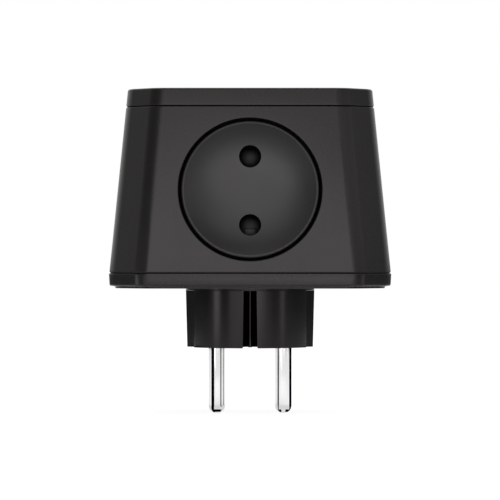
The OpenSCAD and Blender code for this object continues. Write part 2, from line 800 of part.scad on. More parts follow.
// Contact ring with a clip of two sprung leaves for each outlet
module bus(up) {
    level = ring_level(up);
    back = ring_depth(up);
    color(brass) {
        translate([0, 0, level - strip_w / 2])
            linear_extrude(height = strip_w)
                difference() {
                    polygon(round_square(ring_half + strip_t / 2, ring_corner_r + strip_t));
                    polygon(round_square(ring_half - strip_t / 2, ring_corner_r));
                }
        for (side = [FRONT:LEFT], s = [0, 1])
            on_face(side)
                translate([0, up * slot_half, 0])
                    mirror([s, 0, 0])
                        clip_leaf(back);
    }
}
module clip_leaf(back) {
    grip = clip_gap / 2 + strip_t / 2;
    path = [[grip + clip_flare, -mouth_at], [grip, -clip_throat], [grip, -clip_throat - clip_throat_l],
        [clip_back_half, -clip_throat - 2 * clip_throat_l], [clip_back_half, -back]];
    up_the_face(strip_w - 1)
        polygon(strip(bent(path, strip_t), strip_t));
}

// Risers: strips from the terminal screws up inside the tower and out to the rings
module riser(side, level) {
    foot = pin_pitch / 2 + head_d / 2 + 0.4;
    touch = ring_half - strip_t;
    turn_z = level - strip_w / 4;
    low = floor_top + strip_t / 2;
    path = [[foot, low], [riser_at, low], [riser_at, turn_z], [touch, turn_z], [touch, level + strip_w / 4]];
    color(brass)
        rotate([0, 0, side > 0 ? 0 : 180])
            difference() {
                rotate([90, 0, 0])
                    linear_extrude(height = riser_w, center = true)
                        polygon(strip(bent(path, strip_t), strip_t));
                translate([pin_pitch / 2, 0, floor_top - cut_past])
                    cylinder(h = strip_t + 2 * cut_past, r = screw_d / 2 + screw_gap);
            }
}

// Tower: square tubes with a ledge under each contact ring
module tube(low, high, half) {
    translate([0, 0, low])
        linear_extrude(height = high - low)
            polygon(round_square(half, ring_corner_r));
}
module riser_slot(side, level) {
    slot_w = riser_w + 4 * fit_gap;
    translate([side > 0 ? 0 : -2 * tower_half, -slot_w / 2, level - strip_w / 2])
        cube([2 * tower_half, slot_w, strip_w]);
}
module lower_insulator() {
    color(inner_plastic)
        difference() {
            union() {
                tube(foot_z, joint_z, tower_half);
                tube(neutral_z - strip_w / 2 - ledge_t, neutral_z - strip_w / 2, ledge_half);
                tube(foot_z, foot_z + foot_t, foot_half);
            }
            tube(foot_z - cut_past, joint_z + cut_past, tower_in);
            riser_slot(LOWER, neutral_z);
            in_four(tower_screw_at)
                translate([0, 0, foot_z - cut_past])
                    cylinder(h = foot_t + 2 * cut_past, r = screw_d / 2 + screw_gap);
        }
}
module upper_insulator() {
    color(inner_plastic)
        difference() {
            union() {
                tube(joint_z, lid_z, tower_half);
                tube(joint_z, joint_z + ledge_t, ledge_half);
                tube(line_z - strip_w / 2 - ledge_t, line_z - strip_w / 2, ledge_half);
                tube(joint_z - spigot_h, joint_z + ledge_t, tower_in - fit_gap);
            }
            tube(joint_z - spigot_h - cut_past, lid_z + cut_past, tower_in - fit_gap - tower_wall);
            tube(joint_z + ledge_t, lid_z + cut_past, tower_in);
            riser_slot(UPPER, line_z);
        }
}
module insulator_cap() {
    color(inner_plastic) {
        tube(lid_z, lid_z + ledge_t, ledge_half);
        difference() {
            tube(lid_z - spigot_h, lid_z + ledge_t / 2, tower_in - fit_gap);
            tube(lid_z - spigot_h - cut_past, lid_z, tower_in - fit_gap - tower_wall);
        }
    }
}

// Screws
module case_screws() {
    color(steel)
        in_four(case_screw_at)
            translate([0, 0, head_floor])
                screw(screw_d, case_screw_l, head_d, head_h);
}
module tower_screws() {
    color(steel)
        in_four(tower_screw_at)
            translate([0, 0, foot_z + foot_t])
                mirror([0, 0, 1])
                    screw(screw_d, tower_screw_l, head_d, head_h);
}
module plug_screws() {
    color(steel)
        at_plug_screws()
            translate([0, 0, floor_top])
                mirror([0, 0, 1])
                    screw(screw_d, plug_screw_l - 1, head_d, head_h);
}
module terminal_screws() {
    color(steel)
        for (s = [-1, 1])
            translate([s * pin_pitch / 2, 0, floor_top + strip_t])
                mirror([0, 0, 1])
                    screw(screw_d, terminal_l, head_d, head_h);
}
module tray_screws() {
    color(steel)
        for (side = [FRONT:LEFT], s = [-1, 1])
            on_face(side)
                translate([s * tray_screw_at, 0, -insert_back - seat_gap - ear_t])
                    screw(small_screw_d, tray_screw_l - seat_gap - 0.4, small_head_d, 1.3);
}

base_plate();
plug_body();
plug_pin(1);  // line_pin
plug_pin(-1);  // neutral_pin
main_shell();
top_cap();
socket_insert(FRONT);  // socket_insert_front
socket_insert(RIGHT);  // socket_insert_right
socket_insert(REAR);  // socket_insert_rear
socket_insert(LEFT);  // socket_insert_left
shutter(FRONT);  // shutter_front
shutter(RIGHT);  // shutter_right
shutter(REAR);  // shutter_rear
shutter(LEFT);  // shutter_left
shutter_spring(FRONT);  // shutter_spring_front
shutter_spring(RIGHT);  // shutter_spring_right
shutter_spring(REAR);  // shutter_spring_rear
shutter_spring(LEFT);  // shutter_spring_left
shutter_tray(FRONT);  // shutter_tray_front
shutter_tray(RIGHT);  // shutter_tray_right
shutter_tray(REAR);  // shutter_tray_rear
shutter_tray(LEFT);  // shutter_tray_left
bus(UPPER);  // line_bus
bus(LOWER);  // neutral_bus
riser(1, line_z);  // line_riser
riser(-1, neutral_z);  // neutral_riser
lower_insulator();
upper_insulator();
insulator_cap();
case_screws();
tower_screws();
plug_screws();
tray_screws();
terminal_screws();
echo(least_gap_between_spring_turns = coil_pitch - spring_wire);
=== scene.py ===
# %% [markdown]
# # Dressing a multi-socket adapter
# The adapter is a squat black cube that narrows towards its top. It has a dished outlet in each side and a round
# plug with two bright pins underneath. The working model already exists, so this lesson only gives it a skin:
# soft moulded edges, fine-grained plastic, polished pins and a photographer's lamps. Loading the working model
# comes first, because every new piece is placed against it and rides on one of its bodies.

import math

import bmesh
import bpy
from mathutils import Matrix, Vector


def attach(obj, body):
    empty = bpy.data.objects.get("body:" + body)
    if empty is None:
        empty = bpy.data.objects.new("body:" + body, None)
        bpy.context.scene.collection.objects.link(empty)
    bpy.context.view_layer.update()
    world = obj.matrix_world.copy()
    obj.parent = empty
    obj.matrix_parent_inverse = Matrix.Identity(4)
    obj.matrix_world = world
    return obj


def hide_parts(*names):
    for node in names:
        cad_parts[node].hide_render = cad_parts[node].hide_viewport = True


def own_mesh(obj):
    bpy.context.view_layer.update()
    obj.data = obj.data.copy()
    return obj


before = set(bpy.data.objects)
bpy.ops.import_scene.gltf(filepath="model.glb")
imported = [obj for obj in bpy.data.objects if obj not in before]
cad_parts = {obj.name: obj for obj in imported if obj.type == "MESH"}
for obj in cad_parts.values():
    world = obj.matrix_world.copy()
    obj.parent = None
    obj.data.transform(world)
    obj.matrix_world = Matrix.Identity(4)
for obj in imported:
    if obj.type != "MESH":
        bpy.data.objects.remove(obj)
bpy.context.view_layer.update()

# %% [markdown]
# ## The sizes
# The sizes below repeat the working model's, in millimetres, because a maker thinks in millimetres. Blender works
# in metres, so each finished mesh is scaled once, just before it becomes an object. Heights count upwards from
# the plug's face, which is where the two pins come out. A few shapes differ from the working model, by little more
# than half a millimetre at most, because a camera sees them better than a gauge does: the upright edges, the lid's
# upper edge, the band and its step, the tabs of the shutters and the curve of the dish.

# %% Name the sizes
MM = 0.001
DRAFT = math.radians(5.6)
BODY_HALF = 39.03
CORNER_LOW, CORNER_HIGH = 8.9, 8.3
EDGE_R = 6.0
WALL = 2.6
SEAM = 0.45
COLLAR_Z, STEP_Z, BAND_Z, SHELL_Z, SHELL_TOP, CAP_TOP = 16.1, 17.0, 17.65, 21.25, 67.35, 72.3
OUTLET_Z = (SHELL_Z + SHELL_TOP) / 2
OPENING_R = 19.75
SIDES = ("front", "right", "rear", "left")


def half_at(z):
    """Half the housing's width at a height."""
    return BODY_HALF - (z - SHELL_Z) * math.tan(DRAFT)


def leg_at(z):
    """Length of the cut corner's leg at a height."""
    return CORNER_LOW + (CORNER_HIGH - CORNER_LOW) * (z - SHELL_Z) / (SHELL_TOP - SHELL_Z)


def face_frame(side):
    """The tilted frame of an outlet: x across the face, y up it and z out of it."""
    turn = Matrix.Rotation(math.radians(90 * side), 4, "Z")
    place = Matrix.Translation((0, -half_at(OUTLET_Z), OUTLET_Z))
    return turn @ place @ Matrix.Rotation(math.radians(90) - DRAFT, 4, "X")


print(f"housing {2 * half_at(SHELL_Z):.1f} mm wide at the foot, {2 * half_at(CAP_TOP):.1f} mm at the top")

# %% [markdown]
# ## Black plastic, steel and brass
# Moulded plastic is rarely smooth: the mould is spark-eroded, so it prints a grain of about a tenth of a
# millimetre that spreads every highlight. A picture could carry that grain, but noise on Object coordinates has
# no seams and stays sharp in a close view. A second, slower noise lets the gloss drift a little from place to
# place, which is what keeps a large black face from looking painted.

# %% A helper for moulded and drawn finishes
DRIFT_SCALE, GRAIN_SCALE = 70, 5200
GRAIN_DEPTH = 0.02 * MM


def finish(name, colour, roughness, grain=0.0, drift=0.03, metallic=0.0, gloss=0.5, stretch=(1, 1, 1), warm=0.0):
    """A procedural material whose roughness drifts by drift. grain and warm are the strengths of bump and tint."""
    material = bpy.data.materials.new(name)
    material.use_nodes = True
    nodes, links = material.node_tree.nodes, material.node_tree.links
    shader = nodes["Principled BSDF"]
    shader.inputs["Metallic"].default_value = metallic
    shader.inputs["Specular IOR Level"].default_value = gloss
    shader.inputs["Specular Tint"].default_value = (1, 1 - 0.042 * warm, 1 - 0.05 * warm, 1)
    place = nodes.new("ShaderNodeTexCoord")
    turn = nodes.new("ShaderNodeMapping")
    turn.inputs["Scale"].default_value = stretch
    links.new(place.outputs["Object"], turn.inputs["Vector"])
    slow = nodes.new("ShaderNodeTexNoise")
    slow.inputs["Scale"].default_value = DRIFT_SCALE
    slow.inputs["Detail"].default_value = 4
    links.new(turn.outputs["Vector"], slow.inputs["Vector"])
    wander = nodes.new("ShaderNodeMapRange")
    wander.inputs["From Min"].default_value = 0.3
    wander.inputs["From Max"].default_value = 0.7
    wander.inputs["To Min"].default_value = roughness - drift
    wander.inputs["To Max"].default_value = roughness + drift
    links.new(slow.outputs["Fac"], wander.inputs["Value"])
    links.new(wander.outputs["Result"], shader.inputs["Roughness"])
    tint = nodes.new("ShaderNodeMixRGB")
    tint.inputs["Color1"].default_value = (*[c * 0.94 for c in colour], 1)
    tint.inputs["Color2"].default_value = (*[min(c * 1.06, 1) for c in colour], 1)
    links.new(slow.outputs["Fac"], tint.inputs["Fac"])
    links.new(tint.outputs["Color"], shader.inputs["Base Color"])
    if grain:
        fine = nodes.new("ShaderNodeTexNoise")
        fine.inputs["Scale"].default_value = GRAIN_SCALE
        fine.inputs["Detail"].default_value = 3
        links.new(turn.outputs["Vector"], fine.inputs["Vector"])
        bump = nodes.new("ShaderNodeBump")
        bump.inputs["Strength"].default_value = grain
        bump.inputs["Distance"].default_value = GRAIN_DEPTH
        links.new(fine.outputs["Fac"], bump.inputs["Height"])
        links.new(bump.outputs["Normal"], shader.inputs["Normal"])
    return material


print("the finishes are worked out from Object coordinates, so they need no pictures")

# %% Mix the finishes
housing_black = finish("housing_black", (0.0074, 0.0070, 0.0066), 0.27, grain=0.2, gloss=0.33, warm=1.0)
lid_black = finish("lid_black", (0.0074, 0.0070, 0.0066), 0.29, grain=0.2, gloss=0.285, warm=1.0)
outlet_black = finish("outlet_black", (0.0074, 0.0070, 0.0066), 0.43, grain=0.3, gloss=0.54, warm=0.5)
plug_black = finish("plug_black", (0.0038, 0.0036, 0.0034), 0.21, grain=0.15, gloss=0.34, warm=1.2)
# The walls of the insert's holes are matt. They are darker than the outlet's black, as painted shade for the dark
# inside a deep hole.
bore_shade_black = finish("bore_shade_black", (0.0025, 0.0025, 0.0025), 0.7, grain=0.4, gloss=0.05)
tray_black = finish("tray_black", (0.004, 0.004, 0.004), 0.6, grain=0.3, gloss=0.1)
tower_grey = finish("tower_grey", (0.16, 0.16, 0.17), 0.55, grain=0.4)
polished_pin = finish("polished_pin", (0.95, 0.95, 0.95), 0.06, drift=0.015, metallic=1.0, stretch=(1, 1, 0.1))
strip_brass = finish("strip_brass", (0.78, 0.60, 0.30), 0.28, grain=0.15, metallic=1.0, stretch=(1, 1, 0.05))
spring_wire = finish("spring_wire", (0.58, 0.58, 0.60), 0.30, grain=0.1, metallic=1.0)
zinc_screw = finish("zinc_screw", (0.56, 0.56, 0.58), 0.34, grain=0.25, metallic=1.0, stretch=(1, 1, 0.2))
print("finishes:", ", ".join(m.name for m in bpy.data.materials))

# %% [markdown]
# ## From a mesh under construction to a finished piece
# Each piece is built in a BMesh, Blender's editable mesh. Once its shape is right, the mesh is scaled to metres,
# its doubles are merged and its faces are turned outwards. Smooth shading with sharp edges above a set angle keeps
# flat faces flat, and a Weighted Normal modifier lets the large faces decide how the narrow rounds beside them
# shade, as on a real moulding.

# %% A helper that finishes a piece
def place_piece(name, bm, material, node, body="housing", sharp=35, even=True):
    """Turns the BMesh, drawn in millimetres, into an object that stands for a CAD node."""
    bmesh.ops.remove_doubles(bm, verts=bm.verts[:], dist=0.0004)
    bmesh.ops.recalc_face_normals(bm, faces=bm.faces[:])
    bmesh.ops.scale(bm, vec=(MM, MM, MM), verts=bm.verts[:])
    open_edges = sum(1 for e in bm.edges if len(e.link_faces) != 2)
    mesh = bpy.data.meshes.new(name)
    bm.to_mesh(mesh)
    bm.free()
    mesh.shade_smooth()
    mesh.set_sharp_from_angle(angle=math.radians(sharp))
    mesh.materials.append(material)
    piece = bpy.data.objects.new(name, mesh)
    bpy.context.scene.collection.objects.link(piece)
    if even:
        piece.modifiers.new("Even shading", "WEIGHTED_NORMAL").keep_sharp = True
    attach(piece, body)
    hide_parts(node)
    print(f"{name}: {len(mesh.polygons)} faces, {open_edges} open edges")
    return piece


# %% [markdown]
# ## The housing's outline
# Seen from above, every piece of the housing is a square with cut corners whose edges are rounded. One grid face
# gives the square, bevelling its four vertices cuts the corners, and bevelling the eight new ones rounds them.
# Rings like this, stacked at different heights and bridged, make the shell, the lid and the base plate alike, and
# since all of them have the same number of vertices, the bridges run straight. Bevels at the seams and rounds at
# the other edges are no more than a few rings close together.

# %% Draw one ring and bridge a stack of them
EDGE_STEPS = 8


def outline_ring(bm, z, half, leg, radius):
    """Adds the outline at height z as a loop of edges, and returns the edges."""
    before = set(bm.edges)
    corners = bmesh.ops.create_grid(bm, x_segments=1, y_segments=1, size=half)["verts"]
    cut = bmesh.ops.bevel(bm, geom=corners, offset=leg, offset_type="OFFSET", segments=1, profile=0.5,
                          affect="VERTICES", material=-1)
    rounded = bmesh.ops.bevel(bm, geom=cut["verts"], offset=radius * math.tan(math.radians(22.5)),
                              offset_type="OFFSET", segments=EDGE_STEPS, profile=0.5, affect="VERTICES", material=-1)
    ring = [e for e in bm.edges if e not in before]
    bmesh.ops.translate(bm, vec=(0, 0, z), verts=list({v for e in ring for v in e.verts}))
    bmesh.ops.delete(bm, geom=list({f for e in ring for f in e.link_faces}), context="FACES_ONLY")
    return ring


def stack(bm, rings, closed=False):
    """Bridges outlines given as (height, half width, corner leg, edge radius), and returns their loops."""
    loops = [outline_ring(bm, *ring) for ring in rings]
    pairs = list(zip(loops, loops[1:])) + ([(loops[-1], loops[0])] if closed else [])
    for low, high in pairs:
        bmesh.ops.bridge_loops(bm, edges=low + high)
    return loops


def housing_ring(z, inset=0.0):
    """The housing's outline at a height, drawn in by inset."""
    return z, half_at(z) - inset, leg_at(z) - inset * (2 - math.sqrt(2)), EDGE_R - inset


def seam_rings(ring, z, up):
    """The rings of one side of a seam at height z: a bevel that goes up (1) or down (-1) from it."""
    return [ring(z, SEAM), ring(z + up * 0.35 * SEAM, 0.3 * SEAM), ring(z + up * SEAM)]


def rounded_rings(ring, z, up, radius, steps):
    """The rings of a quarter circle that rounds an edge over and ends at height z, going up (1) or down (-1)."""
    turns = [math.radians(90 * k / steps) for k in range(steps + 1)]
    return [ring(z - up * radius * (1 - math.sin(a)), radius * (1 - math.cos(a))) for a in turns]


probe = bmesh.new()
print("vertices in one ring:", len(outline_ring(probe, 0, *housing_ring(SHELL_Z)[1:])))
probe.free()

# %% [markdown]
# ## The round openings
# Each flat side of the shell has a round opening with a softened edge. A boolean would cut it, but it leaves
# ragged faces round the cut. Taking the flat face away and filling the space between its border and a circle
# gives a clean edge loop instead, and that loop can be pulled inwards in small steps to round the edge over.

# %% Helpers for round openings
MOUTH_SOFT = 0.3


def flat_face(bm, matrix, depth):
    """The large flat face that lies at this depth below the plane of the matrix."""
    inverse = matrix.inverted()
    level = [f for f in bm.faces if abs((inverse @ f.calc_center_median()).z + depth) < 0.05]
    return max(level, key=lambda f: f.calc_area())


def open_circle(bm, matrix, depth, radius, segments=96):
    """Replaces that flat face by one with a round hole, and returns the hole's loop."""
    face = flat_face(bm, matrix, depth)
    border = list(face.edges)
    bmesh.ops.delete(bm, geom=[face], context="FACES_ONLY")
    before = set(bm.edges)
    at = matrix @ Matrix.Translation((0, 0, -depth))
    bmesh.ops.create_circle(bm, segments=segments, radius=radius, cap_ends=False, matrix=at)
    circle = [e for e in bm.edges if e not in before]
    bmesh.ops.triangle_fill(bm, use_beauty=True, use_dissolve=False, edges=border + circle)
    return circle


def grown(bm, loop):
    """Extrudes a loop in place, and returns the new loop."""
    made = bmesh.ops.extrude_edge_only(bm, edges=loop)["geom"]
    return [g for g in made if isinstance(g, bmesh.types.BMEdge)]


def pull_loop(bm, loop, matrix, steps, centre=(0, 0)):
    """Extrudes a loop through (radius, height) steps about an axis of the matrix, and returns the last loop."""
    axis = matrix @ Matrix.Translation((*centre, 0))
    inverse = axis.inverted()
    for radius, height in steps:
        loop = grown(bm, loop)
        for v in {v for e in loop for v in e.verts}:
            at = inverse @ v.co
            grow = radius / math.hypot(at.x, at.y)
            v.co = axis @ Vector((at.x * grow, at.y * grow, height))
    return loop


def round_over(radius, steps=4):
    """The (radius, height) steps of a softened edge, from its face down into a hole of that radius."""
    turns = [math.radians(90 * k / steps) for k in range(1, steps + 1)]
    return [(radius + MOUTH_SOFT * (1 - math.sin(a)), -MOUTH_SOFT * (1 - math.cos(a))) for a in turns]


print("a softened edge in steps:", [tuple(round(v, 3) for v in s) for s in round_over(OPENING_R)])

# %% [markdown]
# ## The shell
# The shell is one tall moulding whose sides lean in by 5.6 degrees, which lets it leave the mould. Its outer
# rings go up and its inner ones come back down, so the wall has its real thickness. Bevelled upper and lower
# edges meet those of the lid and the base plate in a narrow V, the seam that can be seen all round.

# %% Mould the shell
bm = bmesh.new()
outside = seam_rings(housing_ring, SHELL_Z, 1) + seam_rings(housing_ring, SHELL_TOP, -1)[::-1]
stack(bm, outside + [housing_ring(SHELL_TOP, WALL), housing_ring(SHELL_Z, WALL)], closed=True)
inner_depth = WALL * math.cos(DRAFT)
for side in range(4):
    tilt = face_frame(side)
    mouth = open_circle(bm, tilt, 0, OPENING_R + MOUTH_SOFT)
    rounded = pull_loop(bm, mouth, tilt, round_over(OPENING_R))
    back = open_circle(bm, tilt, inner_depth, OPENING_R)
    bmesh.ops.bridge_loops(bm, edges=rounded + back)
place_piece("shell", bm, housing_black, "main_shell")

# %% [markdown]
# ## The lid
# The lid carries the same outline on to the top and ends in a small round all the way along its upper edge. The
# round is a few rings on a quarter circle, which keeps it even past the cut corners. Underneath, a lip drops into
# the shell and holds the lid in place. It comes from a mould of its own, a touch duller than the shell's.

# %% Mould the lid
LIP_INSET = WALL + 0.2
RIM_T = 1.6
LID_T, LIP_END = 2.4, SHELL_TOP - 1.9
TOP_ROUND = 0.6
bm = bmesh.new()
lip = [housing_ring(CAP_TOP - LID_T, LIP_INSET + RIM_T), housing_ring(LIP_END, LIP_INSET + RIM_T),
       housing_ring(LIP_END, LIP_INSET), housing_ring(SHELL_TOP, LIP_INSET)]
loops = stack(bm, lip + seam_rings(housing_ring, SHELL_TOP, 1)
              + rounded_rings(housing_ring, CAP_TOP, 1, TOP_ROUND, 6))
bmesh.ops.edgeloop_fill(bm, edges=loops[0])
bmesh.ops.edgeloop_fill(bm, edges=loops[-1])
place_piece("lid", bm, lid_black, "top_cap")

# %% [markdown]
# ## The base plate
# The base plate closes the housing from below: an upright band, a sloping step under it, four deep screw holes and
# a round collar for the plug. One stack of rings makes band, step and the rim inside. The step starts a hair above
# the band's underside, because two rings in one plane can be bridged crosswise. It ends in a narrow upright foot:
# the slope mirrors the white floor, the foot doesn't, and that draws the fine dark line under it. The underside is
# then filled round the five circles, so that holes and collar grow out of the same skin as loops that are pulled
# in or out.

# %% Stack the rings of the base plate
BASE_HALF = BODY_HALF + 0.12
BAND_LEAN = 0.2
STEP_HALF = BASE_HALF - BAND_LEAN - 1.1
STEP_RINGS = ((BAND_Z + 0.03, 0), (STEP_Z + 0.3, 0.45), (STEP_Z + 0.06, 0.45), (STEP_Z, 0.51))
FLOOR_TOP = 19.0
RIM_TOP = 23.35


def band_ring(z, inset=0.0):
    """The base plate's band at a height, drawn in by inset."""
    half = BASE_HALF - BAND_LEAN * (SHELL_Z - z) / (SHELL_Z - BAND_Z)
    return z, half - inset, CORNER_LOW - inset * (2 - math.sqrt(2)), EDGE_R - inset


bm = bmesh.new()
rim = [housing_ring(FLOOR_TOP, LIP_INSET + RIM_T), housing_ring(RIM_TOP, LIP_INSET + RIM_T),
       housing_ring(RIM_TOP, LIP_INSET), housing_ring(SHELL_Z, LIP_INSET)]
band = seam_rings(band_ring, SHELL_Z, -1) + rounded_rings(band_ring, BAND_Z, -1, SEAM, 4)
loops = stack(bm, rim + band + [(z, STEP_HALF - inset, CORNER_LOW, EDGE_R) for z, inset in STEP_RINGS])
bmesh.ops.edgeloop_fill(bm, edges=loops[0])
print("rings in the base plate:", len(loops))

# %% Open its underside for the screws and the plug
SCREW_AT = 28.0
SCREW_HOLE_R = 3.0
HEAD_FLOOR = 20.35
COLLAR_R = 18.35
COLLAR_SOFT = 0.12
under = Matrix.Translation((0, 0, STEP_Z)) @ Matrix.Rotation(math.pi, 4, "X")
holes = []
for at in [(sx * SCREW_AT, sy * SCREW_AT) for sx in (-1, 1) for sy in (-1, 1)]:
    before = set(bm.edges)
    bmesh.ops.create_circle(bm, segments=48, radius=SCREW_HOLE_R + MOUTH_SOFT, cap_ends=False,
                            matrix=under @ Matrix.Translation((*at, 0)))
    holes.append(([e for e in bm.edges if e not in before], at))
before = set(bm.edges)
bmesh.ops.create_circle(bm, segments=128, radius=COLLAR_R, cap_ends=False, matrix=under)
collar = [e for e in bm.edges if e not in before]
bmesh.ops.triangle_fill(bm, use_beauty=True, use_dissolve=False,
                        edges=loops[-1] + collar + [e for loop, at in holes for e in loop])
for loop, at in holes:
    end = pull_loop(bm, loop, under, round_over(SCREW_HOLE_R) + [(SCREW_HOLE_R, STEP_Z - HEAD_FLOOR)], at)
    bmesh.ops.edgeloop_fill(bm, edges=end)
collar_h = STEP_Z - COLLAR_Z
end = pull_loop(bm, collar, under, [(COLLAR_R, collar_h - COLLAR_SOFT), (COLLAR_R - COLLAR_SOFT, collar_h)])
bmesh.ops.edgeloop_fill(bm, edges=end)
place_piece("base_cover", bm, housing_black, "base_plate")

# %% [markdown]
# ## The dished inserts
# Each outlet is a round insert with a shallow dish, steeper towards its rim, and two holes. Cutting the holes from
# a finished dish would leave broken shading round them, just where the eye goes first. So the rim is spun as a
# profile, the disc inside it is filled flat round the two hole circles, cut into small cells, and only then pressed
# into the dish's curve. The cells get the exact normals of that curve, so its sheen is as smooth as on a real
# moulding.

# %% Sizes of the insert and its profile
INSERT_R = 18.95
RIM_ROUND = 0.6
RIM_LAND = 0.05
DISH_R = INSERT_R - RIM_ROUND - RIM_LAND
DISH_DEPTH = 4.0
DISH_POWER = 2.9
INSERT_BACK = 6.2
FLANGE_R, FLANGE_FRONT, FLANGE_BACK = 21.0, 2.75, 4.5
GROOVE_DEEP = 4.3
HUB_R = 15.75
HOLE_R = 3.0
HOLE_AT = 9.5
HOLE_SOFT = 0.09
CELL, CELL_SHIFT = 1.2, 0.13


def dish_z(x, y):
    """Height of the dish, below the plane of the face, at a place on it."""
    return DISH_DEPTH * ((math.hypot(x, y) / DISH_R) ** DISH_POWER - 1)


def dish_normal(x, y):
    """The direction in which the dish faces at a place on it."""
    steep = DISH_POWER * DISH_DEPTH * math.hypot(x, y) ** (DISH_POWER - 2) / DISH_R ** DISH_POWER
    return Vector((-steep * x, -steep * y, 1)).normalized()


print(f"at the holes the dish is {-dish_z(0, HOLE_AT):.2f} mm deep")

# %% Helpers that turn an outline and cut faces into cells
def turned(bm, outline, steps, x=0.0):
    """Spins an outline, given as (radius, height), round an upright axis at x."""
    points = [bm.verts.new((x + r, 0, z)) for r, z in outline]
    line = [bm.edges.new(pair) for pair in zip(points, points[1:])]
    bmesh.ops.spin(bm, geom=points + line, cent=(x, 0, 0), axis=(0, 0, 1), angle=math.tau, steps=steps,
                   use_merge=True)


def cut_at(bm, faces, at, direction, near=0.001):
    """Cuts the faces along x = at (direction 0) or y = at (direction 1)."""
    normal = Vector((1 - direction, direction, 0))
    parts = {g for f in faces for g in (*f.verts, *f.edges)}
    bmesh.ops.bisect_plane(bm, geom=list(faces) + list(parts), dist=near, plane_co=normal * at, plane_no=normal)


# %% Turn the rim of the insert
def turned_rim(bm):
    """Spins rim, flange and hub, and returns the loops round the dish and at the hub's back."""
    profile = [(DISH_R, 0.0)]
    for k in range(8):
        turn = math.radians(90 * k / 7)
        profile.append((INSERT_R - RIM_ROUND * (1 - math.sin(turn)), -RIM_ROUND * (1 - math.cos(turn))))
    profile += [(INSERT_R, -FLANGE_FRONT), ((INSERT_R + OPENING_R) / 2, -GROOVE_DEEP), (OPENING_R, -FLANGE_FRONT),
                (FLANGE_R, -FLANGE_FRONT), (FLANGE_R, -FLANGE_BACK), (HUB_R, -FLANGE_BACK), (HUB_R, -INSERT_BACK)]
    turned(bm, profile, 144)
    open_edges = [e for e in bm.edges if e.is_boundary]
    rim = [e for e in open_edges if e.verts[0].co.z > -INSERT_BACK / 2]
    return rim, [e for e in open_edges if e not in rim]


def hole_loop(bm, y, radius):
    """Adds a circle round a hole's axis, and returns its edges."""
    before = set(bm.edges)
    bmesh.ops.create_circle(bm, segments=64, radius=radius, cap_ends=False, matrix=Matrix.Translation((0, y, 0)))
    return [e for e in bm.edges if e not in before]


print(f"the insert is {INSERT_BACK:.1f} mm deep, and {INSERT_BACK - DISH_DEPTH:.1f} mm are left behind its dish")

# %% Fill the dish, cut it into cells and press it in
def pressed_dish(bm, mark, rim):
    """Fills the space between rim and holes with small cells that lie in the dish. mark is the layer of its faces."""
    holes = [e for y in (-HOLE_AT, HOLE_AT) for e in hole_loop(bm, y, HOLE_R + HOLE_SOFT)]
    made = bmesh.ops.triangle_fill(bm, use_beauty=True, use_dissolve=False, edges=rim + holes)["geom"]
    for g in made:
        if isinstance(g, bmesh.types.BMFace):
            g[mark] = 1
    for direction in (0, 1):
        for k in range(-15, 16):
            cut_at(bm, [f for f in bm.faces if f[mark]], (k + CELL_SHIFT) * CELL, direction, near=0.01)
    for v in {v for f in bm.faces if f[mark] for v in f.verts}:
        v.co.z = dish_z(v.co.x, v.co.y)


print(f"the cells of the dish are {CELL:.1f} mm wide")

# %% Soften the holes and line them
def lined_hole(bm, y):
    """Rounds a hole's edge over, draws its wall to the back, and returns the last loop."""
    axis = Vector((0, y))
    loop = [e for e in bm.edges if e.is_boundary
            and all(abs((v.co.xy - axis).length - HOLE_R - HOLE_SOFT) < 0.03 for v in e.verts)]
    for k in range(1, 7):
        loop = grown(bm, loop)
        turn = math.radians(15 * k)
        for v in {v for e in loop for v in e.verts}:
            v.co.xy = axis + (v.co.xy - axis).normalized() * (HOLE_R + HOLE_SOFT * (1 - math.sin(turn)))
            v.co.z = dish_z(v.co.x, v.co.y) - HOLE_SOFT * (1 - math.cos(turn))
    loop = grown(bm, loop)
    # The wall beyond the rounded edge takes the second finish, whose darker colour is painted shade.
    for f in {f for e in loop for f in e.link_faces}:
        f.material_index = 1
    for v in {v for e in loop for v in e.verts}:
        v.co.z = -INSERT_BACK
    return loop


def polish_dish(piece, tilt):
    """Gives the dish the exact normals of its curve, so that its cells don't show."""
    mesh = piece.data
    marks = [m.value for m in mesh.attributes["dish"].data]
    normals = [Vector(n.vector) for n in mesh.corner_normals]
    flat, turn = tilt.inverted(), tilt.to_3x3()
    for polygon in mesh.polygons:
        if marks[polygon.index]:
            for corner in polygon.loop_indices:
                at = flat @ (mesh.vertices[mesh.loops[corner].vertex_index].co / MM)
                normals[corner] = turn @ dish_normal(at.x, at.y)
    mesh.normals_split_custom_set(normals)
    mesh.attributes.remove(mesh.attributes["dish"])


# %% Make the four inserts
for side, where in enumerate(SIDES):
    bm = bmesh.new()
    mark = bm.faces.layers.int.new("dish")
    rim, hub = turned_rim(bm)
    pressed_dish(bm, mark, rim)
    backs = lined_hole(bm, -HOLE_AT) + lined_hole(bm, HOLE_AT)
    bmesh.ops.triangle_fill(bm, use_beauty=True, use_dissolve=False, edges=hub + backs)
    for f in bm.faces:
        inner = [v.co for v in f.verts if v.co.xy.length < DISH_R + 1]
        f[mark] = (f.calc_center_median().xy.length < DISH_R
                   and all(abs(at.z - dish_z(at.x, at.y)) < 1e-4 for at in inner))
    tilt = face_frame(side)
    bmesh.ops.transform(bm, matrix=tilt, verts=bm.verts[:])
    insert = place_piece(f"insert_{where}", bm, outlet_black, f"socket_insert_{where}",
                         sharp=20, even=False)
    insert.data.materials.append(bore_shade_black)
    polish_dish(insert, tilt)

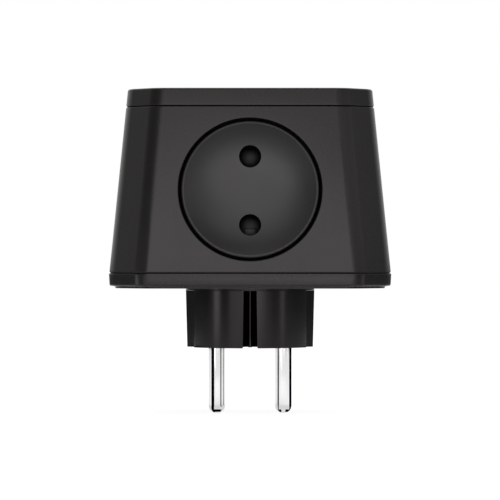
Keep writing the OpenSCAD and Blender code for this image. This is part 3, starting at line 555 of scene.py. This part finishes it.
# %% [markdown]
# ## The shutters
# Behind the holes, each shutter shows its two ramps and the small tabs at their feet. Each ramp is painted grey in
# line with a hole. This is painted light, and it fades at the ramp's borders to black, which is painted shade. A thin
# dark line painted round each tab is the painted shadow of its gap. That painted light follows the holes and not the
# shutter's mesh, so each shutter gets a UV map whose unit is a millimetre across or up its outlet, with the middle of
# the outlet at zero. The material then measures how far a place is from the line of a hole.

# %% Mix the ramps with painted light and shade
PAINTED_LIGHT_R = 3.0
PAINTED_LIGHT_UP = 0.75
TAB_HALF, TAB_TOP, TAB_CORNER = 1.62, -10.0, 0.5


def ramp_with_painted_light(name, black_and_shade, painted_light_colour):
    """Black plastic with painted light: grey round the line of the upper hole, and below that of the lower one,
    fading to painted shade at its borders.
    """
    material = finish(name, black_and_shade, 0.5, grain=0.25, gloss=0.2)
    nodes, links = material.node_tree.nodes, material.node_tree.links

    def calc(kind, a, b=0.0):
        node = nodes.new("ShaderNodeMath")
        node.operation = kind
        for socket, value in zip(node.inputs, (a, b)):
            if isinstance(value, (int, float)):
                socket.default_value = value
            else:
                links.new(value, socket)
        return node.outputs["Value"]

    across = nodes.new("ShaderNodeSeparateXYZ")
    on_face = nodes.new("ShaderNodeUVMap")
    on_face.uv_map = "outlet"
    links.new(on_face.outputs["UV"], across.inputs["Vector"])
    x, y = across.outputs["X"], across.outputs["Y"]
    from_upper = calc("SUBTRACT", y, HOLE_AT + PAINTED_LIGHT_UP)
    from_lower = calc("ADD", y, HOLE_AT - PAINTED_LIGHT_UP)
    from_lower = calc("MAXIMUM", from_lower, calc("MULTIPLY", from_lower, -0.7))
    side_on = calc("MULTIPLY", x, x)
    near = calc("MINIMUM", calc("MULTIPLY", from_upper, from_upper), calc("MULTIPLY", from_lower, from_lower))
    # Painted light: grey in line with each hole, fading to the black of painted shade at the ramp's borders.
    painted_light_mask = nodes.new("ShaderNodeMapRange")
    painted_light_mask.interpolation_type = "SMOOTHSTEP"
    painted_light_mask.inputs["From Min"].default_value = PAINTED_LIGHT_R
    painted_light_mask.inputs["From Max"].default_value = 0.2
    links.new(calc("SQRT", calc("ADD", side_on, near)), painted_light_mask.inputs["Value"])
    # Painted shadow: a thin dark line round each tab, where the gap round it would be in shade.
    beside = calc("MAXIMUM", calc("SUBTRACT", calc("ABSOLUTE", x), TAB_HALF - TAB_CORNER), 0.0)
    above = calc("MAXIMUM", calc("SUBTRACT", y, TAB_TOP - TAB_CORNER), 0.0)
    off_tab = calc("SQRT", calc("ADD", calc("MULTIPLY", beside, beside), calc("MULTIPLY", above, above)))
    painted_tab_shadow = nodes.new("ShaderNodeMapRange")
    painted_tab_shadow.interpolation_type = "SMOOTHSTEP"
    painted_tab_shadow.inputs["From Min"].default_value = 0.04
    painted_tab_shadow.inputs["From Max"].default_value = 0.26
    painted_tab_shadow.inputs["To Min"].default_value = 0.15
    links.new(calc("ABSOLUTE", calc("SUBTRACT", off_tab, TAB_CORNER)), painted_tab_shadow.inputs["Value"])
    colour = nodes.new("ShaderNodeMixRGB")
    colour.inputs["Color1"].default_value = (*black_and_shade, 1)
    colour.inputs["Color2"].default_value = (*painted_light_colour, 1)
    links.new(calc("MULTIPLY", painted_light_mask.outputs["Result"], painted_tab_shadow.outputs["Result"]), colour.inputs["Fac"])
    links.new(colour.outputs["Color"], nodes["Principled BSDF"].inputs["Base Color"])
    return material


# The dark colour is the black plastic and its painted shade, and the grey is painted light. The wear that the print
# names is this painted light.
ramp_black = ramp_with_painted_light("ramp_black", (0.003, 0.003, 0.003), (0.10, 0.098, 0.095))
print(f"the wear ends {PAINTED_LIGHT_R} mm from the line of a hole")

# %% Soften the shutters
SHUTTER_SOFT = 0.12
TAB_W = 3.3
TAB_LIFT = 0.35
RAMP_DEEP, RAMP_TALL = 5.8, 6.2


def map_on_outlet(mesh, tilt):
    """Adds the UV map of an outlet: millimetres across and up its face."""
    flat = tilt.inverted()
    layer = mesh.uv_layers.new(name="outlet")
    for corner in mesh.loops:
        layer.data[corner.index].uv = (flat @ (mesh.vertices[corner.vertex_index].co / MM)).xy


def merged_copy(node):
    """The working mesh of a CAD node in millimetres, its doubles merged."""
    bm = bmesh.new()
    bm.from_mesh(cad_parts[node].data)
    bmesh.ops.scale(bm, vec=(1 / MM, 1 / MM, 1 / MM), verts=bm.verts[:])
    bmesh.ops.remove_doubles(bm, verts=bm.verts[:], dist=0.002)
    return bm


def softened_shutter(side, where):
    """A copy of the shutter's working mesh, its flat faces joined again and its edges softened."""
    bm = merged_copy(f"shutter_{where}")
    bmesh.ops.dissolve_limit(bm, angle_limit=math.radians(0.6), verts=bm.verts[:], edges=bm.edges[:])
    tilt = face_frame(side)
    flat = tilt.inverted()
    tab = [v for v in bm.verts if abs(abs((flat @ v.co).x) - TAB_W / 2) < 0.01 and (flat @ v.co).y < 0]
    bmesh.ops.translate(bm, vec=tilt.to_3x3() @ Vector((0, TAB_LIFT, -TAB_LIFT * (RAMP_DEEP / RAMP_TALL))), verts=tab)
    piece = place_piece(f"ramps_{where}", bm, ramp_black, f"shutter_{where}",
                        body=f"{where}_shutter", sharp=30, even=False)
    map_on_outlet(piece.data, tilt)
    bevel = piece.modifiers.new("Soft edges", "BEVEL")
    bevel.width = SHUTTER_SOFT * MM
    bevel.segments = 3
    bevel.limit_method = "ANGLE"
    bevel.angle_limit = math.radians(30)
    bevel.harden_normals = True


for side, where in enumerate(SIDES):
    softened_shutter(side, where)

# %% [markdown]
# ## The springs
# A spring pushes each shutter back up. The working model has its coil, but a coil has to shorten while the shutter
# comes down, and a mesh that rides on a body keeps its shape. Here a copy of the coil's working mesh, its doubles
# merged, only takes the spring wire's finish and a mesh of its own.

# %% Wind the springs
for side, where in enumerate(SIDES):
    tilt = face_frame(side)
    coil = place_piece(f"coil_{where}", merged_copy(f"shutter_spring_{where}"), spring_wire,
                       f"shutter_spring_{where}", even=False)
    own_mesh(coil)

# %% [markdown]
# ## The plug
# The plug is a round block with a deep groove in front and behind, a flat with a thin rib at each side, and a fin
# in the middle of each groove, whose floor is a V. Its outline is a disc that straight cuts divide into cells: the
# cells of the grooves and flats are deleted and the others joined. The outline is then pulled up to the collar,
# where the round is a little wider and the grooves a little narrower, because this block has to leave its mould too.

# %% Cut the plug's outline and pull it up
TIP_R, ROOT_R = 17.95, 18.35
FLAT_AT = 15.9
RIB_HALF, RIB_ROOT_HALF = 1.0, 2.6
GROOVE_TIP, GROOVE_ROOT = 2.05, 1.85
WEB_HALF, GROOVE_FLOOR = 4.3, 2.3

bm = bmesh.new()
bmesh.ops.create_circle(bm, segments=160, radius=TIP_R, cap_ends=True)
for at, direction in ((FLAT_AT, 0), (-FLAT_AT, 0), (GROOVE_TIP, 0), (-GROOVE_TIP, 0), (0, 0),
                      (RIB_HALF, 1), (-RIB_HALF, 1), (WEB_HALF, 1), (-WEB_HALF, 1)):
    cut_at(bm, bm.faces[:], at, direction)
gone = []
for f in bm.faces:
    x, y = (abs(v) for v in f.calc_center_median().xy)
    if (x > FLAT_AT and y > RIB_HALF) or (x < GROOVE_TIP and y > WEB_HALF):
        gone.append(f)
bmesh.ops.delete(bm, geom=gone, context="FACES")
bmesh.ops.dissolve_faces(bm, faces=bm.faces[:], use_verts=False)
for v in bm.verts:
    if abs(v.co.x) < 0.01:
        v.co.y = math.copysign(GROOVE_FLOOR, v.co.y)
    elif abs(abs(v.co.x) - FLAT_AT) < 0.01 and abs(v.co.y) < RIB_HALF + 0.01:
        v.co.y = math.copysign(RIB_ROOT_HALF, v.co.y)
made = bmesh.ops.extrude_face_region(bm, geom=bm.faces[:])["geom"]
for v in [g for g in made if isinstance(g, bmesh.types.BMVert)]:
    x, y = v.co.x, v.co.y
    if abs(math.hypot(x, y) - TIP_R) < 0.02:
        y = math.copysign(math.sqrt(ROOT_R ** 2 - x * x), y) if abs(y) > RIB_HALF + 0.01 else y
        x = x if abs(y) > RIB_HALF + 0.01 else math.copysign(math.sqrt(ROOT_R ** 2 - y * y), x)
    if abs(abs(x) - GROOVE_TIP) < 0.02 and abs(y) > WEB_HALF - 0.01:
        x = math.copysign(GROOVE_ROOT, x)
    v.co = (x, y, COLLAR_Z)
print("edges in the plug's outline:", sum(1 for e in bm.edges if all(v.co.z == 0 for v in e.verts)))

# %% Soften the plug's edges and stand the fins in its grooves
PLUG_SOFT, FIN_SOFT = 0.28, 0.22
FIN_HALF, FIN_FOOT_HALF, FIN_FOOT_H, FIN_REACH = 0.275, 0.55, 2.9, 14.35
FIN_LIFT = 0.2
sharp = [e for e in bm.edges if len(e.link_faces) == 2 and e.calc_face_angle() > math.radians(25)
         and min(v.co.z for v in e.verts) < 1]
bmesh.ops.bevel(bm, geom=sharp, offset=PLUG_SOFT, offset_type="OFFSET", segments=3, profile=0.5, affect="EDGES",
                material=-1, clamp_overlap=True)
before = set(bm.verts)
bmesh.ops.create_cube(bm, size=1)
fin = [v for v in bm.verts if v not in before]
bmesh.ops.scale(bm, vec=(2 * FIN_HALF, 2 * FIN_REACH, COLLAR_Z - FIN_LIFT), verts=fin)
bmesh.ops.translate(bm, vec=(0, 0, (COLLAR_Z + FIN_LIFT) / 2), verts=fin)
upright = [e for e in {e for v in fin for e in v.link_edges} if abs(e.verts[0].co.z - e.verts[1].co.z) > 1]
bmesh.ops.bevel(bm, geom=upright, offset=FIN_SOFT, offset_type="OFFSET", segments=3, profile=0.5, affect="EDGES",
                material=-1)
fin = [v for v in bm.verts if v not in before]
parts = {g for v in fin for g in (v, *v.link_edges, *v.link_faces)}
bmesh.ops.bisect_plane(bm, geom=list(parts), dist=0.001, plane_co=(0, 0, FIN_FOOT_H), plane_no=(0, 0, 1))
bmesh.ops.scale(bm, vec=(FIN_FOOT_HALF / FIN_HALF, 1, 1),
                verts=[v for v in bm.verts if v not in before and v.co.z < FIN_FOOT_H - 0.1])
place_piece("plug_block", bm, plug_black, "plug_body")

# %% [markdown]
# ## The pins
# A plug pin is turned from a rod: a ball end, a plain shank, and a collar that is sunk in the plug's face. Spinning
# half of its outline round its own axis is the same as turning it on a lathe, and it closes both ends.

# %% Turn the two pins
PIN_R = 2.4
PIN_LEN = 19.0
PIN_AT = 9.5
SUNK_R, SUNK_T, SUNK_SOFT = 3.0, 1.2, 0.12
TAIL_R, TAIL_TOP = 2.6, 18.9
for name, node, x in (("pin_right", "line_pin", PIN_AT), ("pin_left", "neutral_pin", -PIN_AT)):
    outline = [(PIN_R * math.sin(math.radians(6 * k)), PIN_R - PIN_LEN - PIN_R * math.cos(math.radians(6 * k)))
               for k in range(16)]
    outline += [(PIN_R, 0.0), (SUNK_R - SUNK_SOFT, 0.0), (SUNK_R, SUNK_SOFT), (SUNK_R, SUNK_T), (TAIL_R, SUNK_T),
                (TAIL_R, TAIL_TOP), (0.0, TAIL_TOP)]
    bm = bmesh.new()
    turned(bm, outline, 96, x)
    place_piece(name, bm, polished_pin, node)

# %% [markdown]
# ## The case screws
# Deep in the four holes underneath sit the screws that hold the housing together. Each is turned like the pins,
# and its cross recess is made as the plug was: straight cuts divide the flat of the head into cells, and the five
# cells of the cross are pushed in and drawn together towards their floor. Their edges go into the same call, which
# is how it knows that the old cells must not stay behind as a lid.

# %% Turn a screw
HEAD_R, HEAD_H, THREAD_R, THREAD_L = 2.8, 1.9, 1.45, 14.0
head_z = HEAD_FLOOR - HEAD_H
bm = bmesh.new()
outline = [(1.9, head_z), (2.35, head_z + 0.1), (2.65, head_z + 0.32), (HEAD_R, head_z + 0.7), (HEAD_R, HEAD_FLOOR),
           (THREAD_R, HEAD_FLOOR), (THREAD_R, HEAD_FLOOR + THREAD_L - 1.2), (0.3, HEAD_FLOOR + THREAD_L),
           (0.0, HEAD_FLOOR + THREAD_L)]
turned(bm, outline, 48)
bmesh.ops.edgeloop_fill(bm, edges=[e for e in bm.edges if e.is_boundary])
print(f"a screw: {HEAD_H + THREAD_L:.1f} mm long, {len(bm.faces)} faces")

# %% Press in its cross and set four of them
ARM_HALF, ARM_REACH, CROSS_DEEP, CROSS_TAPER = 0.32, 1.35, 1.1, 0.55


def head_cells():
    """The faces in the flat of the head."""
    return [f for f in bm.faces if all(abs(v.co.z - head_z) < 1e-4 for v in f.verts)]


for at in (ARM_HALF, -ARM_HALF, ARM_REACH, -ARM_REACH):
    for direction in (0, 1):
        cut_at(bm, head_cells(), at, direction)
cross = []
for f in head_cells():
    narrow, wide = sorted(abs(c) for c in f.calc_center_median().xy)
    if narrow < ARM_HALF and wide < ARM_REACH:
        cross.append(f)
made = bmesh.ops.extrude_face_region(bm, geom=cross + list({e for f in cross for e in f.edges}))["geom"]
deep = [g for g in made if isinstance(g, bmesh.types.BMVert)]
bmesh.ops.translate(bm, vec=(0, 0, CROSS_DEEP), verts=deep)
bmesh.ops.scale(bm, vec=(CROSS_TAPER, CROSS_TAPER, 1), verts=deep)
whole = bm.verts[:] + bm.edges[:] + bm.faces[:]
for sx, sy, twist in ((1, 1, 20), (-1, 1, 65), (-1, -1, 5), (1, -1, 40)):
    copy = bmesh.ops.duplicate(bm, geom=whole)["geom"]
    verts = [g for g in copy if isinstance(g, bmesh.types.BMVert)]
    bmesh.ops.rotate(bm, cent=(0, 0, 0), matrix=Matrix.Rotation(math.radians(twist), 3, "Z"), verts=verts)
    bmesh.ops.translate(bm, vec=(sx * SCREW_AT, sy * SCREW_AT, 0), verts=verts)
bmesh.ops.delete(bm, geom=[g for g in whole if isinstance(g, bmesh.types.BMVert)], context="VERTS")
place_piece("case_screws_turned", bm, zinc_screw, "case_screws")

# %% [markdown]
# ## What stays as it is
# Contacts, trays and the tower are hidden inside, and the working model holds them in their true shape. They keep
# their meshes and only trade the plain colours for real finishes.

# %% Finish the inner pieces
INNER = {"screws": zinc_screw, "tray": tray_black, "bus": strip_brass, "riser": strip_brass, "insulator": tower_grey}
for name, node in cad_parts.items():
    material = next((m for word, m in INNER.items() if word in name), None)
    if material:
        for place in node.material_slots:
            place.material = material
        print(f"{name}: {material.name}")

# %% [markdown]
# ## The studio
# The camera stands level, 0.93 m in front, and its long lens hardly lets the cube's sides converge. A black object
# is drawn by what it mirrors. The front lamp is a wide oval that ends just above the reflection of the face's upper
# edge, and it is rolled a little, so the face darkens towards its top and most at the right. The upper lamp is for
# the lid and the steep lower part of the dish, the top lamp for what faces up, the right lamp for the round of the
# right corner, and the low lamps draw the soft stripes on the plug.
#
# For the camera the floor and the air are white, but they give the object little light, so the white doesn't grey
# its blacks, and the floor still takes its shadow. The air's reflection is brightest from behind the object and
# dark from the camera's side. Cards that only reflections can see do the rest: rings at both sides for the cut
# corners and the sides of the plug, thin ones round each pin for its dark stripes and the curls at its tip, and a
# shelf in front of the plug that darkens what the lower rim of the dish would mirror.

# %% Set up the camera
camera = bpy.data.objects.new("camera", bpy.data.cameras.new("camera"))
bpy.context.scene.collection.objects.link(camera)
camera.location = (-0.00003, -0.930, 0.0276)
camera.rotation_euler = (math.radians(90), 0, 0)
camera.data.sensor_width = 36
camera.data.lens = 234.36
camera.data.clip_start = 0.05
camera.data.clip_end = 50
bpy.context.scene.camera = camera
print("camera looks level from", tuple(round(v, 3) for v in camera.location))


# %% Lay the floor
def shown_white(nodes, links, to_camera, to_mirrors):
    """The light that the camera sees, and the light seen in reflections and refractions. Diffuse light gets none."""
    path = nodes.new("ShaderNodeLightPath")
    mirrored = nodes.new("ShaderNodeMath")
    mirrored.operation = "MAXIMUM"
    links.new(path.outputs["Is Glossy Ray"], mirrored.inputs[0])
    links.new(path.outputs["Is Transmission Ray"], mirrored.inputs[1])
    share = nodes.new("ShaderNodeMath")
    share.operation = "MULTIPLY"
    share.inputs[1].default_value = to_mirrors
    links.new(mirrored.outputs["Value"], share.inputs[0])
    total = nodes.new("ShaderNodeMath")
    total.operation = "MULTIPLY_ADD"
    total.inputs[1].default_value = to_camera
    links.new(path.outputs["Is Camera Ray"], total.inputs[0])
    links.new(share.outputs["Value"], total.inputs[2])
    return total.outputs["Value"]


paper = bpy.data.materials.new("paper_white")
paper.use_nodes = True
nodes, links = paper.node_tree.nodes, paper.node_tree.links
shader = nodes["Principled BSDF"]
shader.inputs["Base Color"].default_value = (0.35, 0.35, 0.35, 1)
shader.inputs["Roughness"].default_value = 0.9
shader.inputs["Specular IOR Level"].default_value = 0.0
shader.inputs["Emission Color"].default_value = (1, 1, 1, 1)
links.new(shown_white(nodes, links, 0.85, 0.55), shader.inputs["Emission Strength"])
bm = bmesh.new()
bmesh.ops.create_circle(bm, segments=96, radius=1.6, cap_ends=True,
                        matrix=Matrix.Translation((0, 0, -PIN_LEN * MM)))
mesh = bpy.data.meshes.new("floor")
bm.to_mesh(mesh)
bm.free()
mesh.materials.append(paper)
floor = bpy.data.objects.new("floor", mesh)
bpy.context.scene.collection.objects.link(floor)
print(f"the floor lies {PIN_LEN:.0f} mm below the plug's face")

# %% Light the air round the object
world = bpy.data.worlds.new("studio_air")
bpy.context.scene.world = world
world.use_nodes = True
nodes, links = world.node_tree.nodes, world.node_tree.links
air = nodes["Background"]
air.inputs["Color"].default_value = (1, 1, 1, 1)
path = nodes.new("ShaderNodeLightPath")
around = nodes.new("ShaderNodeTexCoord")
back = nodes.new("ShaderNodeVectorMath")
back.operation = "DOT_PRODUCT"
back.inputs[1].default_value = (-0.16, 0.98, 0.0)
links.new(around.outputs["Generated"], back.inputs[0])
behind = nodes.new("ShaderNodeMapRange")
behind.inputs["From Min"].default_value = -0.32
behind.inputs["From Max"].default_value = 0.75
behind.inputs["To Min"].default_value = 0.2
behind.inputs["To Max"].default_value = 1.0
links.new(back.outputs["Value"], behind.inputs["Value"])
seen = nodes.new("ShaderNodeMix")
seen.inputs["A"].default_value = 0.5
links.new(path.outputs["Is Glossy Ray"], seen.inputs["Factor"])
links.new(behind.outputs["Result"], seen.inputs["B"])
shown = nodes.new("ShaderNodeMath")
shown.operation = "MAXIMUM"
links.new(path.outputs["Is Camera Ray"], shown.inputs[0])
links.new(seen.outputs["Result"], shown.inputs[1])
clear = nodes.new("ShaderNodeMath")
clear.operation = "MAXIMUM"
links.new(path.outputs["Is Transmission Ray"], clear.inputs[0])
links.new(shown.outputs["Value"], clear.inputs[1])
links.new(clear.outputs["Value"], air.inputs["Strength"])
print("the air gives the object's surfaces a strength of", seen.inputs["A"].default_value)

# %% Hang the lamps
def soft_lamp(name, place, aim, width, height, power, shape="RECTANGLE", roll=0):
    """An area lamp at place that faces aim, rolled about its own axis by some degrees."""
    data = bpy.data.lights.new(name, "AREA")
    data.shape = shape
    data.size = width
    data.size_y = height
    data.energy = power
    lamp = bpy.data.objects.new(name, data)
    bpy.context.scene.collection.objects.link(lamp)
    lamp.location = place
    facing = (Vector(aim) - Vector(place)).to_track_quat("-Z", "Y").to_matrix()
    lamp.rotation_euler = (facing @ Matrix.Rotation(math.radians(roll), 3, "Z")).to_euler()
    lamp.visible_camera = False
    radiance = power / (math.pi * width * height * (math.pi / 4 if shape == "ELLIPSE" else 1))
    print(f"{name}: radiance {radiance:.1f}")


soft_lamp("front_lamp", (-0.005, -0.24, 0.0525), (-0.005, 0, 0.0525), 0.28, 0.111, 0.179, "ELLIPSE", roll=-9)
soft_lamp("upper_lamp", (0, -0.24, 0.200), (0, 0, 0.200), 0.32, 0.17, 0.16, "ELLIPSE")
soft_lamp("top_lamp", (0, 0.25, 0.9), (0, 0, 0.03), 0.7, 0.7, 4.2)
soft_lamp("left_front_lamp", (-0.13, -0.24, 0.0), (-0.13, 0, 0.0), 0.12, 0.03, 0.0085)
soft_lamp("left_lamp", (-0.129, -0.077, 0.0075), (0, 0, 0.0075), 0.028, 0.025, 0.0056)
soft_lamp("right_lamp", (0.143, -0.112, 0.085), (0, 0, 0.085), 0.185, 0.08, 0.031)
soft_lamp("right_low_lamp", (0.125, -0.081, 0.0075), (0, 0, 0.0075), 0.018, 0.025, 0.0026)


# %% Stand the dark cards
def card_from(bm, name, level):
    """A card of that brightness, in millimetres, which is seen in reflections only."""
    bmesh.ops.scale(bm, vec=(MM, MM, MM), verts=bm.verts[:])
    mesh = bpy.data.meshes.new(name)
    bm.to_mesh(mesh)
    bm.free()
    card = bpy.data.materials.new(name)
    card.use_nodes = True
    shader = card.node_tree.nodes["Principled BSDF"]
    shader.inputs["Base Color"].default_value = (0, 0, 0, 1)
    shader.inputs["Specular IOR Level"].default_value = 0
    shader.inputs["Emission Color"].default_value = (1, 1, 1, 1)
    shader.inputs["Emission Strength"].default_value = level
    mesh.materials.append(card)
    strip = bpy.data.objects.new(name, mesh)
    bpy.context.scene.collection.objects.link(strip)
    strip.visible_camera = False
    strip.visible_diffuse = False
    strip.visible_shadow = False
    strip.visible_transmission = False


def dark_card(name, level, radius, low, high, start, end, x=0.0, toe=None):
    """A strip of a ring round an axis at x, and a foot inwards to toe. Angles count from the front to the right."""
    bm = bmesh.new()
    turn = math.radians(start)
    side = [(radius, high), (radius, low)] + ([(toe, low)] if toe else [])
    points = [bm.verts.new((x + r * math.sin(turn), -r * math.cos(turn), z)) for r, z in side]
    line = [bm.edges.new(pair) for pair in zip(points, points[1:])]
    bmesh.ops.spin(bm, geom=points + line, cent=(x, 0, 0), axis=(0, 0, 1), angle=math.radians(end - start),
                   steps=max(2, int(abs(end - start) / 4)), use_merge=False)
    card_from(bm, name, level)


def dark_shelf(name, level, half, near, far, height):
    """A level card in front of the object, from near to far."""
    bm = bmesh.new()
    bmesh.ops.create_grid(bm, x_segments=1, y_segments=1, size=0.5)
    bmesh.ops.scale(bm, vec=(2 * half, far - near, 1), verts=bm.verts[:])
    bmesh.ops.translate(bm, vec=(0, -(near + far) / 2, height), verts=bm.verts[:])
    card_from(bm, name, level)


WIDE_R, PIN_CARD_R, TIP_CARD_R = 160, 14, 2.5
FOOT, TIP_CARD_TOP, PIN_CARD_TOP = -18.9, -18.7, -0.05
dark_card("left_low_card", 0.2, WIDE_R, -5, 32, -76, -36)
dark_card("left_back_card", 0.04, WIDE_R, -5, 15, -150, -76)
dark_card("left_band_card", 0.4, WIDE_R, 15, 32, -150, -76)
dark_card("right_low_card", 0.2, WIDE_R, -5, 32, 36, 80)
dark_card("right_back_card", 0.08, WIDE_R, -5, 15, 80, 150)
dark_card("right_band_card", 0.35, WIDE_R, 15, 32, 80, 150)
dark_card("left_round_card", 0.45, WIDE_R, 32, 60, -66, -24)
for name, level, start, end, x in (("left", 0.0, -74, -32, -PIN_AT), ("right", 0.0, 80, 140, PIN_AT),
                                   ("middle", 0.05, -74, -58, PIN_AT)):
    dark_card(f"{name}_pin_card", level, PIN_CARD_R, FOOT, PIN_CARD_TOP, start, end, x, toe=1)
for name, start, end, x in (("left", -32, 64, -PIN_AT), ("middle", -80, -26, PIN_AT), ("right", 26, 80, PIN_AT)):
    dark_card(f"{name}_tip_card", 0.0, TIP_CARD_R, FOOT, TIP_CARD_TOP, start, end, x, toe=1.2)
dark_shelf("dish_shelf", 0.2, 60, 58, 116, 19.5)

# %% [markdown]
# ## The last look
# The scene shows its colours through the Standard view transform.

# %% Set the view transform
scene = bpy.context.scene
scene.view_settings.view_transform = "Standard"
